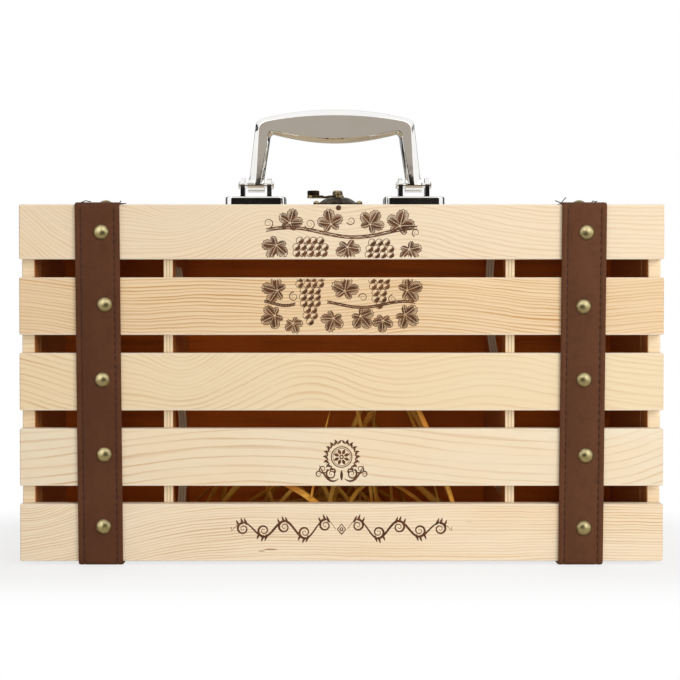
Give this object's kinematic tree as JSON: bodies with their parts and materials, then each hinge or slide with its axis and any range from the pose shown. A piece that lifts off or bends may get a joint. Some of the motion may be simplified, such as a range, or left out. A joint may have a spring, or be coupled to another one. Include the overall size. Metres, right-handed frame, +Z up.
{
  "type": "wine gift box",
  "caption": "Slatted pine gift box for two wine bottles: hinged slatted lid, leather straps, swing latch and a folding chrome handle.",
  "frame": {"origin": "middle of the box's footprint, on the plane that the strap undersides rest on", "axes": "+X to the right seen from the front, +Y from the slatted front to the back, +Z up to the handle"},
  "size_m": [0.35, 0.1092, 0.2538],
  "materials": {
    "pine": "planed pale pine, unvarnished, with laser-burnt ornament",
    "plywood": "raw three-ply birch, sawn edges",
    "back_board": "reddish-brown hardboard, matt",
    "brown_leather": "satin brown leather with stitched edges",
    "antique_brass": "darkened antique brass, rubbed bright on the crowns",
    "antique_bronze": "dark antique bronze plating, rubbed edges",
    "chrome": "bright chrome plate",
    "straw": "loose dry straw"
  },
  "bodies": {
    "case": {"case_bottom_board": "pine", "case_top_board": "pine", "case_left_end": "pine", "case_right_end": "pine", "back_panel": "back_board", "case_left_holder": "plywood", "case_right_holder": "plywood", "straw_bed": "straw", "case_left_strap": "brown_leather", "case_right_strap": "brown_leather", "left_hinge_case_leaf": "antique_bronze", "right_hinge_case_leaf": "antique_bronze", "left_hinge_pin": "antique_bronze", "right_hinge_pin": "antique_bronze", "latch_base_plate": "antique_bronze", "latch_rivet": "antique_bronze", "left_bracket": "chrome", "right_bracket": "chrome", "left_bracket_pin": "chrome", "right_bracket_pin": "chrome"},
    "lid": {"slat_1": "pine", "slat_2": "pine", "slat_3": "pine", "slat_4": "pine", "slat_5": "pine", "lid_bottom_rail": "pine", "lid_top_rail": "pine", "lid_left_rail": "pine", "lid_right_rail": "pine", "lid_left_holder": "plywood", "lid_right_holder": "plywood", "lid_left_strap": "brown_leather", "lid_right_strap": "brown_leather", "left_front_nail_1": "antique_brass", "left_front_nail_2": "antique_brass", "left_front_nail_3": "antique_brass", "left_front_nail_4": "antique_brass", "left_front_nail_5": "antique_brass", "right_front_nail_1": "antique_brass", "right_front_nail_2": "antique_brass", "right_front_nail_3": "antique_brass", "right_front_nail_4": "antique_brass", "right_front_nail_5": "antique_brass", "left_top_nail": "antique_brass", "right_top_nail": "antique_brass", "left_hinge_lid_leaf": "antique_bronze", "right_hinge_lid_leaf": "antique_bronze", "latch_keeper_plate": "antique_bronze", "latch_stud": "antique_bronze", "slat_pin": "antique_bronze"},
    "hook": {"latch_hook": "antique_bronze", "latch_knob": "antique_bronze"},
    "handle": {"handle": "chrome"}
  },
  "joints": [
    {"name": "lid_hinge", "type": "hinge", "parent": "case", "child": "lid", "pos_m": [0, -0.028, 0.002], "axis": [1, 0, 0], "range_deg": [0, 100]},
    {"name": "latch_swing", "type": "hinge", "parent": "case", "child": "hook", "pos_m": [-0.0017, -0.0244, 0.20185], "axis": [0, 0, 1], "range_deg": [0, 90]},
    {"name": "handle_fold", "type": "hinge", "parent": "case", "child": "handle", "pos_m": [-0.0028, 0, 0.2103], "axis": [1, 0, 0], "range_deg": [-95, 80]}
  ]
}
